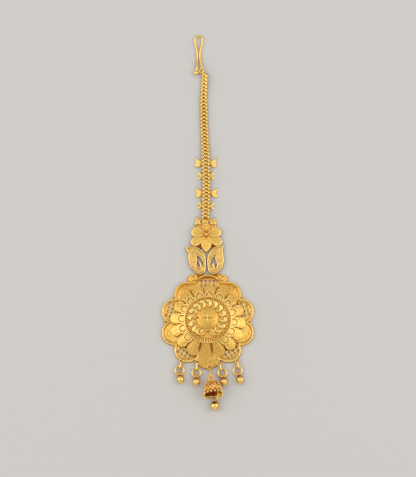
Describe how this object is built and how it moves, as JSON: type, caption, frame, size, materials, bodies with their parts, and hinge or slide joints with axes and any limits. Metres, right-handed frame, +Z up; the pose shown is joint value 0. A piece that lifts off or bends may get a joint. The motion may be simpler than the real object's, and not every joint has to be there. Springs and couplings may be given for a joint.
{
  "type": "maang tikka",
  "caption": "Gold-plated forehead pendant: tiered round medallion with petals, lattice lobes, small drops and a bell, hung from a flower crest and a flat chain with a wire hair hook.",
  "frame": {"origin": "middle of the whole length and width, at the height of the surface it lies on", "axes": "+Y from the bell at the bottom to the hair hook at the top, +Z up out of the medallion's face, +X to the right"},
  "size_m": [0.036, 0.1498, 0.0082],
  "materials": {
    "stamped_gold": "satin gold plate on stamped sheet, reddish in the recesses",
    "polished_gold": "polished gold plate on wire and beads"
  },
  "bodies": {
    "root": {"bail_1": "polished_gold", "bail_2": "polished_gold", "bail_3": "polished_gold", "bail_4": "polished_gold", "bail_5": "polished_gold", "ball_drop_1": "polished_gold", "ball_drop_2": "polished_gold", "ball_drop_3": "polished_gold", "ball_drop_4": "polished_gold", "base_plate": "stamped_gold", "centre_disc": "stamped_gold", "chain": "polished_gold", "clover_charm_lower": "stamped_gold", "clover_charm_upper": "stamped_gold", "crest_plate": "stamped_gold", "flower": "stamped_gold", "hair_hook": "polished_gold", "hook_ring": "polished_gold", "jhumki_ball": "polished_gold", "jhumki_bell": "stamped_gold", "jhumki_link": "polished_gold", "leaf_left": "stamped_gold", "leaf_right": "stamped_gold", "petal_tier": "stamped_gold", "ring_1": "polished_gold", "ring_2": "polished_gold", "ring_3": "polished_gold", "ring_4": "polished_gold", "scallop_tier": "stamped_gold", "tulip_charm_lower": "stamped_gold", "tulip_charm_upper": "stamped_gold"}
  },
  "joints": []
}
